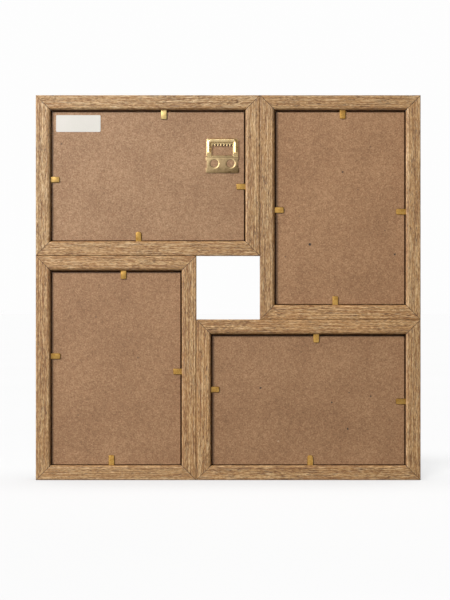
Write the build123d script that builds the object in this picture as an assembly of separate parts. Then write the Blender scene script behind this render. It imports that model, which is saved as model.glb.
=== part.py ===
from build123d import *
import math
import os

# Collage photo frame: four identical 10 x 15 cm picture frames joined in a pinwheel round
# an open square window, seen from the rear.
# Millimetres. +Z is up, -Y is the rear (the side with the backing boards, the side that
# goes against a wall), +Y is the viewing side. The origin is in the middle of the bottom
# edge, half way through the depth.

# ---- overall layout -------------------------------------------------------------------
FRAME_LONG = 176.0          # outer length of one frame
FRAME_SHORT = 126.0         # outer width of one frame
TOTAL = FRAME_LONG + FRAME_SHORT
HALF = TOTAL / 2

# ---- moulding section -----------------------------------------------------------------
DEPTH = 16.0                # front face to rear face
Y_BACK, Y_FRONT = -DEPTH / 2, DEPTH / 2
RAIL_W = 16.0               # full width of the moulding, lip included
REBATE_W = 11.5             # width of the rear face, outer edge to rebate wall
SEAT_Y = 1.0                # where the glass rests on the lip
BACK_IN_R = 2.2             # rounding of the rear inner edge
BACK_OUT_R = 0.8            # small rounding of the rear outer edge
FRONT_OUT_R = 1.2           # rounding of the front outer edge
FRONT_FLAT_END = 9.6        # where the flat front turns into the slope to the sight edge
SIGHT_TOP_Y = 5.0           # front end of the sight edge

# ---- glass, photo, backing ------------------------------------------------------------
PANE_LONG, PANE_SHORT = 152.0, 102.0      # the standard 10 x 15 cm print
GLASS_T, PHOTO_T, BOARD_T = 2.0, 0.3, 3.0
PANE_DROP = 0.45            # glass and print rest on the rebate's lower wall
BOARD_LONG, BOARD_SHORT, BOARD_DROP = 151.0, 101.0, 0.5    # the back is cut a little smaller
GLASS_Y = SEAT_Y - GLASS_T
PHOTO_Y = GLASS_Y - PHOTO_T
BOARD_Y = PHOTO_Y - BOARD_T                # rear surface of the backing board

# ---- bendable retaining tabs ----------------------------------------------------------
TAB_W, TAB_T = 4.7, 0.5
TAB_AXIS_U = REBATE_W + 0.30               # bend line, from the outer edge of the rail
TAB_AXIS_Y = BOARD_Y - 0.35
TAB_SHANK_U = 4.6                          # how deep the shank goes into the rail
TAB_TIP_R = 1.2

# ---- corner and joining hardware ------------------------------------------------------
VNAIL_T, VNAIL_LEG, VNAIL_APEX = 0.4, 4.2, 8.2
VNAIL_Y0, VNAIL_Y1 = -6.3, 0.7
DOWEL_R, DOWEL_LEN, DOWEL_IN = 2.0, 16.0, 35.0

# ---- hanger ---------------------------------------------------------------------------
HX = -4.6                                  # middle of the hanger
HINGE_Z = 254.2
HINGE_Y = BOARD_Y - 0.85
BARREL_R, BARREL_BORE_R = 0.72, 0.44       # rolled top edge of the plate
TRUNNION_R, TRUNNION_LEN = 0.38, 3.4       # inward stubs of the bail that turn in the roll
PLATE_T = 0.6
PLATE_HALF_W, PLATE_BOTTOM_Z, PLATE_TOP_Z = 12.15, 241.0, 254.2
PLATE_SHOULDER_Z = 253.5                   # top of the plate's corners, below the bail's arms
PLATE_HOLE_R, COUNTERSINK_R, COUNTERSINK_DEEP = 3.0, 4.05, 0.48
PLATE_HOLE_DX, PLATE_HOLE_Z = 6.38, 248.6
CLAW_OUT, CLAW_DEEP = 0.95, 2.3            # the four prongs pressed into the board
CLAW_SPANS = ((241.3, 245.0), (250.9, 253.5))
BAIL_HALF_W, BAIL_ARM_W, BAIL_T = 12.4, 3.9, 1.0
BAIL_TOP = 14.0                            # hinge line to top of the bail
BAIL_BAR_H = 2.9
SAW_STRIP_H, SAW_DEPTH, SAW_PITCH, SAW_COUNT = 3.1, 1.85, 2.39, 7
BEAD_W, BEAD_H, BEAD_START = 2.9, 1.0, 3.3

# ---- blank paper sticker --------------------------------------------------------------
STICKER_X, STICKER_Z = -117.8, 280.0
STICKER_W, STICKER_H, STICKER_T, STICKER_R = 35.0, 13.2, 0.12, 0.8

# name: (x0, z0, width, height) of each frame, as seen from the rear
FRAMES = {
    "top_left": (-HALF, TOTAL - FRAME_SHORT, FRAME_LONG, FRAME_SHORT),
    "top_right": (HALF - FRAME_SHORT, TOTAL - FRAME_LONG, FRAME_SHORT, FRAME_LONG),
    "bottom_left": (-HALF, 0.0, FRAME_SHORT, FRAME_LONG),
    "bottom_right": (HALF - FRAME_LONG, 0.0, FRAME_LONG, FRAME_SHORT),
}
# where each tab stands along its rail (x for the top and bottom rails, z for the side rails)
# and how far it reaches from its bend line: they are driven in by hand, so no two agree
TABS = {
    "top_left": {"top": (-50.5, 6.9), "bottom": (-70.4, 7.2), "left": (235.9, 6.8), "right": (230.4, 6.8)},
    "top_right": {"top": (90.0, 6.5), "bottom": (84.2, 6.6), "left": (212.0, 6.9), "right": (210.7, 7.4)},
    "bottom_left": {"top": (-82.2, 6.5), "bottom": (-91.7, 7.6), "left": (97.1, 7.4), "right": (85.1, 6.4)},
    "bottom_right": {"top": (69.2, 6.4), "bottom": (64.5, 7.6), "left": (71.0, 6.3), "right": (61.6, 7.6)},
}
SIDES = ("top", "bottom", "left", "right")
TURN = {"bottom": 0, "top": 180, "left": 90, "right": -90}

os.makedirs("parts", exist_ok=True)


def save(shape, name):
    export_step(shape, "parts/" + name + ".step")


def box(x0, x1, y0, y1, z0, z1):
    return Pos((x0 + x1) / 2, (y0 + y1) / 2, (z0 + z1) / 2) * Box(x1 - x0, y1 - y0, z1 - z0)


def rail_length(frame, side):
    x0, z0, w, h = FRAMES[frame]
    return w if side in ("top", "bottom") else h


def place(shape, frame, side):
    """From the rail's own frame (runs along x, outer edge at z 0, inwards is +z) to its place."""
    x0, z0, w, h = FRAMES[frame]
    at = {
        "bottom": (x0 + w / 2, 0, z0),
        "top": (x0 + w / 2, 0, z0 + h),
        "left": (x0, 0, z0 + h / 2),
        "right": (x0 + w, 0, z0 + h / 2),
    }[side]
    return Pos(*at) * Rot(0, TURN[side], 0) * shape


def along(frame, side, value):
    """A row position along a rail, in the rail's own frame."""
    x0, z0, w, h = FRAMES[frame]
    middle = x0 + w / 2 if side in ("top", "bottom") else z0 + h / 2
    d = value - middle
    return d if side in ("bottom", "right") else -d


def arc_mid(centre, r, deg):
    a = math.radians(deg)
    return (centre[0] + r * math.cos(a), centre[1] + r * math.sin(a))


def moulding_section():
    """Closed face of the moulding in (y, u): u runs from the outer edge inwards."""
    b, o, f = BACK_IN_R, BACK_OUT_R, FRONT_OUT_R
    s = math.sqrt(0.5)
    points = [
        (Y_BACK + o, 0.0),
        (Y_FRONT - f, 0.0),
        (Y_FRONT, f),
        (Y_FRONT, FRONT_FLAT_END),
        (SIGHT_TOP_Y + 0.6, RAIL_W - 0.9),
        (SIGHT_TOP_Y - 0.3, RAIL_W),
        (SEAT_Y, RAIL_W),
        (SEAT_Y, REBATE_W),
        (Y_BACK + b, REBATE_W),
        (Y_BACK, REBATE_W - b),
        (Y_BACK, o),
    ]
    lines = [
        Line(points[0], points[1]),
        ThreePointArc(points[1], (Y_FRONT - f + f * s, f - f * s), points[2]),
        Line(points[2], points[3]),
        # shallow hollow from the flat front down to the sight edge
        ThreePointArc(points[3], (Y_FRONT - 1.45, 12.35), points[4]),
        ThreePointArc(
            points[4],
            (SIGHT_TOP_Y - 0.3 + 0.9 * s, RAIL_W - 0.9 + 0.9 * s),
            points[5],
        ),
        Line(points[5], points[6]),
        Line(points[6], points[7]),
        Line(points[7], points[8]),
        ThreePointArc(points[8], (Y_BACK + b - b * s, REBATE_W - b + b * s), points[9]),
        Line(points[9], points[10]),
        ThreePointArc(points[10], (Y_BACK + o - o * s, o - o * s), points[0]),
    ]
    return make_face(lines)


def plain_rail(length):
    # the section's y goes to row y, its u to row z; the rail runs along x
    plane = Plane(origin=(-length / 2, 0, 0), x_dir=(0, 1, 0), z_dir=(1, 0, 0))
    body = extrude(plane * moulding_section(), amount=length)
    w = RAIL_W
    h = length / 2
    cut_plane = Plane(origin=(0, Y_BACK - 1, 0), x_dir=(1, 0, 0), z_dir=(0, 1, 0))
    # this plane's own y axis points along -z
    shape = cut_plane * make_face(
        Polyline((-h, 0), (h, 0), (h - w - 1, -w - 1), (-h + w + 1, -w - 1), close=True)
    )
    return body & extrude(shape, amount=DEPTH + 2)


def tab_shank():
    """The part of a tab that is driven into the rail, with its pointed end, at x 0."""
    u1 = TAB_AXIS_U - TAB_T / 2 - 0.02
    outline = Polyline(
        (-TAB_W / 2, -u1),
        (TAB_W / 2, -u1),
        (TAB_W / 2, -(TAB_SHANK_U + 2.0)),
        (0, -TAB_SHANK_U),
        (-TAB_W / 2, -(TAB_SHANK_U + 2.0)),
        close=True,
    )
    plane = Plane(origin=(0, TAB_AXIS_Y - TAB_T / 2, 0), x_dir=(1, 0, 0), z_dir=(0, 1, 0))
    return extrude(plane * make_face(outline), amount=TAB_T)


def tab_tongue(reach):
    """The part of a tab that lies over the board and bends up, at x 0."""
    t = TAB_T / 2
    # side view: (u, y); y grows towards the board
    path = [(0.0, 0.0), (reach - 2.2, 0.0), (reach, 0.07)]
    upper, lower = [], []
    for i, (u, y) in enumerate(path):
        a = path[max(i - 1, 0)]
        b = path[min(i + 1, len(path) - 1)]
        d = (b[0] - a[0], b[1] - a[1])
        n = math.hypot(*d)
        nu, ny = -d[1] / n, d[0] / n
        if i == 0:
            nu, ny = 0.0, 1.0
        upper.append((TAB_AXIS_U + u - nu * t, TAB_AXIS_Y + y - ny * t))
        lower.append((TAB_AXIS_U + u + nu * t, TAB_AXIS_Y + y + ny * t))
    mid = (TAB_AXIS_U - t, TAB_AXIS_Y)
    as_yz = lambda p: (p[1], p[0])
    edges = [
        ThreePointArc(as_yz(lower[0]), as_yz(mid), as_yz(upper[0])),
        Polyline(*[as_yz(p) for p in upper]),
        Line(as_yz(upper[-1]), as_yz(lower[-1])),
        Polyline(*[as_yz(p) for p in lower[::-1]]),
    ]
    plane = Plane(origin=(-TAB_W / 2, 0, 0), x_dir=(0, 1, 0), z_dir=(1, 0, 0))
    strip = extrude(plane * make_face(edges), amount=TAB_W)
    w, r = TAB_W / 2, TAB_TIP_R
    u0, u1 = TAB_AXIS_U - 1, TAB_AXIS_U + reach + 0.05
    s = math.sqrt(0.5)
    plan = [
        Line((-w, -u0), (w, -u0)),
        Line((w, -u0), (w, -(u1 - r))),
        ThreePointArc((w, -(u1 - r)), (w - r + r * s, -(u1 - r + r * s)), (w - r, -u1)),
        Line((w - r, -u1), (-w + r, -u1)),
        ThreePointArc((-w + r, -u1), (-w + r - r * s, -(u1 - r + r * s)), (-w, -(u1 - r))),
        Line((-w, -(u1 - r)), (-w, -u0)),
    ]
    top = Plane(origin=(0, BOARD_Y - 3, 0), x_dir=(1, 0, 0), z_dir=(0, 1, 0))
    return strip & extrude(top * make_face(plan), amount=4)


def corner_nail(frame, corner):
    """A bent steel V-nail across one mitre, driven from the rear and sunk below the surface."""
    x0, z0, w, h = FRAMES[frame]
    sx = 1 if corner[1] == "left" else -1
    sz = 1 if corner[0] == "bottom" else -1
    cx = x0 if sx == 1 else x0 + w
    cz = z0 if sz == 1 else z0 + h
    t, a, g = VNAIL_T / 2, VNAIL_APEX, VNAIL_LEG
    one = box(a - t, a + t, VNAIL_Y0, VNAIL_Y1, a - g, a + t)
    two = box(a - g, a + t, VNAIL_Y0, VNAIL_Y1, a - t, a + t)
    nail = one + two
    if sx == -1:
        nail = mirror(nail, about=Plane.YZ)
    if sz == -1:
        nail = mirror(nail, about=Plane.XY)
    return Pos(cx, 0, cz) * nail


# ---- joining dowels: two through each of the four butt joints ---------------------------
dowels = []
edge = HALF - FRAME_SHORT          # 25 mm: where the joints' planes stand
for z in (TOTAL - DOWEL_IN, TOTAL - FRAME_SHORT + DOWEL_IN):
    dowels.append(Pos(edge, 0, z) * Rot(0, 90, 0) * Cylinder(DOWEL_R, DOWEL_LEN))
for z in (DOWEL_IN, FRAME_SHORT - DOWEL_IN):
    dowels.append(Pos(-edge, 0, z) * Rot(0, 90, 0) * Cylinder(DOWEL_R, DOWEL_LEN))
for x in (-HALF + DOWEL_IN, -edge - DOWEL_IN):
    dowels.append(Pos(x, 0, FRAME_LONG) * Cylinder(DOWEL_R, DOWEL_LEN))
for x in (HALF - DOWEL_IN, edge + DOWEL_IN):
    dowels.append(Pos(x, 0, FRAME_SHORT) * Cylinder(DOWEL_R, DOWEL_LEN))

# ---- corner nails -----------------------------------------------------------------------
nails = {}
for frame in FRAMES:
    for v in ("bottom", "top"):
        for hside in ("left", "right"):
            nails[(frame, v, hside)] = corner_nail(frame, (v, hside))

# ---- rails, tabs ------------------------------------------------------------------------
def touches(a, b):
    A, B = a.bounding_box(), b.bounding_box()
    return all(
        lo1 < hi2 - 1e-6 and lo2 < hi1 - 1e-6
        for lo1, hi1, lo2, hi2 in (
            (A.min.X, A.max.X, B.min.X, B.max.X),
            (A.min.Y, A.max.Y, B.min.Y, B.max.Y),
            (A.min.Z, A.max.Z, B.min.Z, B.max.Z),
        )
    )


for frame in FRAMES:
    shanks = []
    for side in SIDES:
        spot, reach = TABS[frame][side]
        at = along(frame, side, spot)
        shank = place(Pos(at, 0, 0) * tab_shank(), frame, side)
        tongue = place(Pos(at, 0, 0) * tab_tongue(reach), frame, side)
        shanks.append(shank)
        save(tongue, frame + "_tab_" + side)
        rail = place(plain_rail(rail_length(frame, side)), frame, side)
        rail = rail - shank
        for key, nail in nails.items():
            if key[0] == frame and side in key[1:]:
                rail = rail - nail
        for d in dowels:
            if touches(rail, d):
                rail = rail - d
        save(rail, frame + "_rail_" + side)
    save(Compound(children=shanks), frame + "_tab_shanks")

save(Compound(children=list(nails.values())), "corner_v_nails")
save(Compound(children=dowels), "joining_dowels")

# ---- hanger plate -------------------------------------------------------------------------
# sheet metal, lying on the board; its top edge is rolled into a barrel between the bail's arms,
# its two holes are countersunk, and the four corner lugs end in prongs that are pressed into
# the board
plate_y0, plate_y1 = BOARD_Y - PLATE_T, BOARD_Y
barrel_half = BAIL_HALF_W - BAIL_ARM_W - 0.35
plate = box(-PLATE_HALF_W, PLATE_HALF_W, plate_y0, plate_y1, PLATE_BOTTOM_Z, PLATE_TOP_Z)
for s in (-1, 1):
    xi, xo = s * barrel_half, s * (PLATE_HALF_W + 1)
    plate = plate - box(min(xi, xo), max(xi, xo), plate_y0 - 1, plate_y1 + 1, PLATE_SHOULDER_Z, PLATE_TOP_Z + 1)
plate = fillet(plate.edges().filter_by(Axis.Y).group_by(Axis.Z)[0], 0.4)
plate = plate + Pos(0, HINGE_Y, HINGE_Z) * Rot(0, 90, 0) * Cylinder(BARREL_R, 2 * barrel_half)
# the roll's neck, down to the sheet
plate = plate + box(-barrel_half, barrel_half, HINGE_Y, plate_y1, HINGE_Z - BARREL_R, HINGE_Z)
claws = []
for s in (-1, 1):
    for za, zb in CLAW_SPANS:
        xi, xo = s * (PLATE_HALF_W - 0.5), s * (PLATE_HALF_W + CLAW_OUT)
        lug = box(min(xi, xo), max(xi, xo), plate_y0, plate_y1, za, zb)
        outer = lug.edges().filter_by(Axis.Z).sort_by(lambda e: (-s * e.center().X, e.center().Y))[0]
        lug = fillet(outer, 0.5)
        xi = s * (PLATE_HALF_W + CLAW_OUT - 0.6)
        prong = box(min(xi, xo), max(xi, xo), plate_y1 - 0.2, plate_y1 + CLAW_DEEP - 0.8, za, zb)
        # the prong narrows to a point
        side_plane = Plane(origin=(min(xi, xo), 0, 0), x_dir=(0, 1, 0), z_dir=(1, 0, 0))
        y_a, y_b = plate_y1 + CLAW_DEEP - 0.8, plate_y1 + CLAW_DEEP
        point = extrude(side_plane * make_face(Polyline(
            (y_a, za), (y_b, (za + zb) / 2), (y_a, zb), close=True)), amount=0.6)
        prong = prong + point
        claws.append(Pos(HX, 0, 0) * prong)
        plate = plate + lug + prong
for s in (-1, 1):
    at = Pos(s * PLATE_HOLE_DX, plate_y0, PLATE_HOLE_Z) * Rot(90, 0, 0)
    plate = plate - at * Cylinder(PLATE_HOLE_R, 4)
    flare = (COUNTERSINK_R - PLATE_HOLE_R) / COUNTERSINK_DEEP
    over = 0.05
    cone = Cone(PLATE_HOLE_R, COUNTERSINK_R + over * flare, COUNTERSINK_DEEP + over)
    plate = plate - at * Pos(0, 0, (over - COUNTERSINK_DEEP) / 2) * cone
plate = plate & box(-20, 20, Y_BACK, BOARD_Y + 5, 200, 300)
plate = plate - Pos(0, HINGE_Y, HINGE_Z) * Rot(0, 90, 0) * Cylinder(BARREL_BORE_R, 30)
save(Pos(HX, 0, 0) * plate, "hanger_plate")

# ---- toothed bail, standing up from its hinge --------------------------------------------------
# own frame: x along the hinge, z up from the hinge line, y as in the row
w0, w1 = BAIL_HALF_W - BAIL_ARM_W, BAIL_HALF_W
bar_z = BAIL_TOP - BAIL_BAR_H
R = 1.7
q = R * math.sqrt(0.5)
outline = [
    Line((-w1, 0), (-w1, BAIL_TOP - R)),
    ThreePointArc((-w1, BAIL_TOP - R), (-w1 + R - q, BAIL_TOP - R + q), (-w1 + R, BAIL_TOP)),
    Line((-w1 + R, BAIL_TOP), (w1 - R, BAIL_TOP)),
    ThreePointArc((w1 - R, BAIL_TOP), (w1 - R + q, BAIL_TOP - R + q), (w1, BAIL_TOP - R)),
    Line((w1, BAIL_TOP - R), (w1, 0)),
    Line((w1, 0), (w0, 0)),
]
inner = [(w0, 0), (w0, bar_z - SAW_STRIP_H)]
first = (SAW_COUNT - 1) / 2 * SAW_PITCH
low = bar_z - SAW_STRIP_H
for i in range(SAW_COUNT):
    c = first - i * SAW_PITCH
    # the notches lean towards +x, as a saw's do, and have a short flat root
    inner += [(c + SAW_PITCH * 0.36, low), (c + SAW_PITCH * 0.42, low + SAW_DEPTH * 0.85),
              (c + SAW_PITCH * 0.32, low + SAW_DEPTH), (c + SAW_PITCH * 0.08, low + SAW_DEPTH),
              (c - SAW_PITCH * 0.41, low)]
inner += [(-w0, low), (-w0, 0), (-w1, 0)]
outline.append(Polyline(*inner))
bail_plane = Plane(origin=(0, BAIL_T / 2, 0), x_dir=(1, 0, 0), z_dir=(0, -1, 0))
bail = extrude(bail_plane * make_face(outline), amount=BAIL_T)
# half-round stiffening bead along the arms and the top bar, with domed ends
c_w, c_top = (w0 + w1) / 2, BAIL_TOP - BAIL_BAR_H / 2
rb = 1.75
qb = rb * math.sqrt(0.5)
yb = -BAIL_T / 2
bead_path = Wire([
    Line((-c_w, yb, BEAD_START), (-c_w, yb, c_top - rb)),
    ThreePointArc((-c_w, yb, c_top - rb), (-c_w + rb - qb, yb, c_top - rb + qb), (-c_w + rb, yb, c_top)),
    Line((-c_w + rb, yb, c_top), (c_w - rb, yb, c_top)),
    ThreePointArc((c_w - rb, yb, c_top), (c_w - rb + qb, yb, c_top - rb + qb), (c_w, yb, c_top - rb)),
    Line((c_w, yb, c_top - rb), (c_w, yb, BEAD_START)),
])
a, hgt = BEAD_W / 2, BEAD_H
sect_plane = Plane(origin=(-c_w, yb, BEAD_START), x_dir=(1, 0, 0), z_dir=(0, 0, 1))
# this plane's own y axis is row +y, so the bead grows towards -y
section = sect_plane * make_face([
    Line((-a, 0.2), (a, 0.2)),
    Line((a, 0.2), (a, 0.0)),
    ThreePointArc((a, 0.0), (0, -hgt), (-a, 0.0)),
    Line((-a, 0.0), (-a, 0.2)),
])
bail = bail + sweep(section, path=bead_path)
for s in (-1, 1):
    end_plane = Plane(origin=(s * c_w, yb, BEAD_START), x_dir=(1, 0, 0), z_dir=(0, 0, 1))
    bulge = (a * a + hgt * hgt) / (2 * hgt)          # radius of the bead's crown
    ang = math.asin(a / bulge) / 2 if hgt < a else math.radians(45)
    mid = (bulge * math.sin(ang), -(hgt - bulge) - bulge * math.cos(ang))
    half = end_plane * make_face([
        Line((0, 0.2), (a, 0.2)),
        Line((a, 0.2), (a, 0.0)),
        ThreePointArc((a, 0.0), mid, (0, -hgt)),
        Line((0, -hgt), (0, 0.2)),
    ])
    bail = bail + revolve(half, axis=Axis((s * c_w, 0, BEAD_START), (0, 1, 0)), revolution_arc=360)
# rounded lower ends of the arms, and the inward stubs that turn in the plate's roll
for s in (-1, 1):
    arm_end = Pos(s * (w0 + w1) / 2, 0, 0) * Rot(0, 90, 0) * Cylinder(BAIL_T / 2, BAIL_ARM_W)
    stub = Pos(s * (w0 + 0.1 - TRUNNION_LEN / 2), 0, 0) * Rot(0, 90, 0) * Cylinder(TRUNNION_R, TRUNNION_LEN)
    bail = bail + arm_end + stub
save(Pos(HX, HINGE_Y, HINGE_Z) * bail, "hanger_bail")

# ---- sticker ----------------------------------------------------------------------------------
sticker = box(STICKER_X - STICKER_W / 2, STICKER_X + STICKER_W / 2, BOARD_Y - STICKER_T, BOARD_Y,
              STICKER_Z - STICKER_H / 2, STICKER_Z + STICKER_H / 2)
sticker = fillet(sticker.edges().filter_by(Axis.Y), STICKER_R)
save(sticker, "blank_sticker")

# ---- glass, photo insert and backing board of each frame ---------------------------------------
for frame, (x0, z0, w, h) in FRAMES.items():
    lying = w > h
    cx, cz = x0 + w / 2, z0 + h / 2
    def sheet(long, short, drop, y0, y1, trim=0.0):
        pw, ph = (long, short) if lying else (short, long)
        low = cz - drop - ph / 2
        return box(cx - pw / 2 + trim, cx + pw / 2 - trim, y0, y1, low, low + ph - 2 * trim)
    save(sheet(PANE_LONG, PANE_SHORT, PANE_DROP, GLASS_Y, SEAT_Y), frame + "_glass")
    save(sheet(PANE_LONG, PANE_SHORT, PANE_DROP, PHOTO_Y, GLASS_Y, 0.1), frame + "_photo_insert")
    board = sheet(BOARD_LONG, BOARD_SHORT, BOARD_DROP, BOARD_Y, PHOTO_Y)
    board = chamfer(board.edges().filter_by(Plane.XZ).group_by(Axis.Y)[0], 0.25)
    if frame == "top_left":
        for claw in claws:
            board = board - claw
    save(board, frame + "_backing_board")

print("written", len(os.listdir("parts")), "files; outer size", TOTAL, "x", DEPTH, "x", TOTAL)
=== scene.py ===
import math
import random

import bmesh
import bpy
import numpy as np
from mathutils import Matrix, Vector


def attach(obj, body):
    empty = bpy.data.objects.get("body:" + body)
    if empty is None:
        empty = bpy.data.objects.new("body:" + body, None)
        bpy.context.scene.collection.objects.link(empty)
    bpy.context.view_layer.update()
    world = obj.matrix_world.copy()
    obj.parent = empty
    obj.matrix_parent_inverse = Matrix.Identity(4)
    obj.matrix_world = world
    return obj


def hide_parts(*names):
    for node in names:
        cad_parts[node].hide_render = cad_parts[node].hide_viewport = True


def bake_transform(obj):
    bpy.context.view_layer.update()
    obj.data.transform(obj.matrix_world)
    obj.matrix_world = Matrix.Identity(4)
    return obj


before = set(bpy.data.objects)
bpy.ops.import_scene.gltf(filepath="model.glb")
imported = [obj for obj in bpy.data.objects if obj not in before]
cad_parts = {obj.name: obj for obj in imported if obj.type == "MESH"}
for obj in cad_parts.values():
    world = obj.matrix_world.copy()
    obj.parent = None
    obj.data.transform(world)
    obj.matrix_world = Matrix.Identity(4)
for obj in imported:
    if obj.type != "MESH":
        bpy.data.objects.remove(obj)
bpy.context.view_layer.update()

MM = 0.001
random.seed(11)

# ------------------------------------------------------------------------- the model's numbers
# millimetres, as in the CAD source
FRAME_LONG, FRAME_SHORT = 176.0, 126.0
TOTAL = FRAME_LONG + FRAME_SHORT
HALF = TOTAL / 2
Y_BACK, Y_FRONT = -8.0, 8.0
RAIL_W, REBATE_W, SEAT_Y = 16.0, 11.5, 1.0
BACK_IN_R, BACK_OUT_R, FRONT_OUT_R = 2.2, 0.8, 1.2
FRONT_FLAT_END, SIGHT_TOP_Y = 9.6, 5.0
GLASS_T, PHOTO_T, BOARD_T = 2.0, 0.3, 3.0
GLASS_Y = SEAT_Y - GLASS_T
PHOTO_Y = GLASS_Y - PHOTO_T
BOARD_Y = PHOTO_Y - BOARD_T
PANE_DROP, BOARD_DROP = 0.45, 0.5
TAB_W, TAB_T = 4.7, 0.5
TAB_AXIS_U, TAB_AXIS_Y = REBATE_W + 0.30, BOARD_Y - 0.35
FRAMES = {
    "top_left": (-HALF, TOTAL - FRAME_SHORT, FRAME_LONG, FRAME_SHORT),
    "top_right": (HALF - FRAME_SHORT, TOTAL - FRAME_LONG, FRAME_SHORT, FRAME_LONG),
    "bottom_left": (-HALF, 0.0, FRAME_SHORT, FRAME_LONG),
    "bottom_right": (HALF - FRAME_LONG, 0.0, FRAME_LONG, FRAME_SHORT),
}
# place along the rail, reach from the bend line, then how the hand that bent it left it: a slight
# lean about the rail's direction and about its own, in degrees, and the tip's corner radius
TABS = {
    "top_left": {"top": (-50.5, 6.9, 5.5, 1.5, 0.7), "bottom": (-70.4, 7.2, 1.0, -1.0, 2.0),
                 "left": (235.9, 6.8, 2.2, 3.0, 1.2), "right": (230.4, 6.8, 1.0, 2.0, 0.9)},
    "top_right": {"top": (90.0, 6.5, 1.2, 1.5, 0.9), "bottom": (84.2, 6.6, 0.8, -1.0, 1.0),
                  "left": (212.0, 6.9, 1.6, 1.5, 0.9), "right": (210.7, 7.4, 1.0, 2.0, 1.6)},
    "bottom_left": {"top": (-82.2, 6.5, 3.0, 2.5, 0.9), "bottom": (-91.7, 7.6, 0.8, 1.5, 0.9),
                    "left": (97.1, 7.4, 0.8, 0.5, 0.9), "right": (85.1, 6.4, 0.8, 1.5, 0.8)},
    "bottom_right": {"top": (69.2, 6.4, 1.6, 3.5, 1.2), "bottom": (64.5, 7.6, 0.7, 1.0, 2.0),
                     "left": (71.0, 6.3, 1.0, 1.0, 1.1), "right": (61.6, 7.6, 0.6, 2.0, 1.5)},
}
SIDES = ("top", "bottom", "left", "right")
# how bright the plating of each tab still is, in the order of SIDES; the brightest ones also carry a painted glint
TAB_TARNISH_AND_GLINT = {"top_left": (0.86, 0.52, 0.66, 0.50), "top_right": (0.42, 0.50, 0.54, 0.38),
            "bottom_left": (0.56, 0.48, 0.34, 0.40), "bottom_right": (0.42, 0.46, 0.30, 0.26)}


# each piece is a little lighter or darker than the next, partly its own tone and partly painted light; the pieces at
# the upper left are lighter and paler as a painted sheen
SHEEN_HUE, WARM = (1.0, 1.04, 1.09), (1.03, 1.0, 0.94)
RAIL_LIGHT = {"top_left": (1.10, 0.96, 1.10, 0.96), "top_right": (0.97, 1.10, 0.93, 1.0),
              "bottom_left": (1.0, 1.02, 0.95, 1.0), "bottom_right": (1.08, 1.02, 1.06, 0.97)}
BOARD_LIGHT = {"top_left": 1.10, "top_right": 1.08, "bottom_left": 1.02, "bottom_right": 1.0}
TAB_LIGHT = {"top_left": (0.62, 0.64, 0.48, 0.73), "top_right": (0.88, 0.88, 0.86, 0.90),
             "bottom_left": (0.65, 0.86, 0.63, 0.74), "bottom_right": (0.90, 0.94, 0.76, 0.72)}


def tint(ob, light, hue=(1.0, 1.0, 1.0)):
    a = ob.data.attributes.new("tint", "FLOAT_COLOR", "POINT")
    value = np.array([light * h for h in hue] + [1.0], np.float32)
    a.data.foreach_set("color", np.tile(value, len(ob.data.vertices)))


def srgb(r, g, b):
    def one(c):
        c /= 255.0
        return c / 12.92 if c <= 0.04045 else ((c + 0.055) / 1.055) ** 2.4
    return (one(r), one(g), one(b), 1.0)


# ------------------------------------------------------------------------- smooth value noise
def lattice(ix, iy, iz):
    h = (ix.astype(np.int64) * 374761393 + iy.astype(np.int64) * 668265263
         + iz.astype(np.int64) * 2147483647) & 0xFFFFFFFF
    h = ((h ^ (h >> 13)) * 1274126177) & 0xFFFFFFFF
    h = h ^ (h >> 16)
    return (h & 0xFFFF) / 65535.0


def vnoise(x, y, z):
    x, y, z = np.broadcast_arrays(np.asarray(x, float), np.asarray(y, float), np.asarray(z, float))
    fx, fy, fz = np.floor(x), np.floor(y), np.floor(z)
    tx, ty, tz = x - fx, y - fy, z - fz
    tx, ty, tz = (t * t * (3 - 2 * t) for t in (tx, ty, tz))
    out = 0.0
    for a in (0, 1):
        for b in (0, 1):
            for c in (0, 1):
                wgt = ((tx if a else 1 - tx) * (ty if b else 1 - ty) * (tz if c else 1 - tz))
                out = out + wgt * lattice(fx + a, fy + b, fz + c)
    return out


def fbm(x, y, z, octaves=3, gain=0.5):
    total, amp, norm = 0.0, 1.0, 0.0
    for o in range(octaves):
        f = 2.0 ** o
        total = total + amp * vnoise(x * f + 17.3 * o, y * f + 9.1 * o, z + 31.7 * o)
        norm += amp
        amp *= gain
    return total / norm


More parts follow.
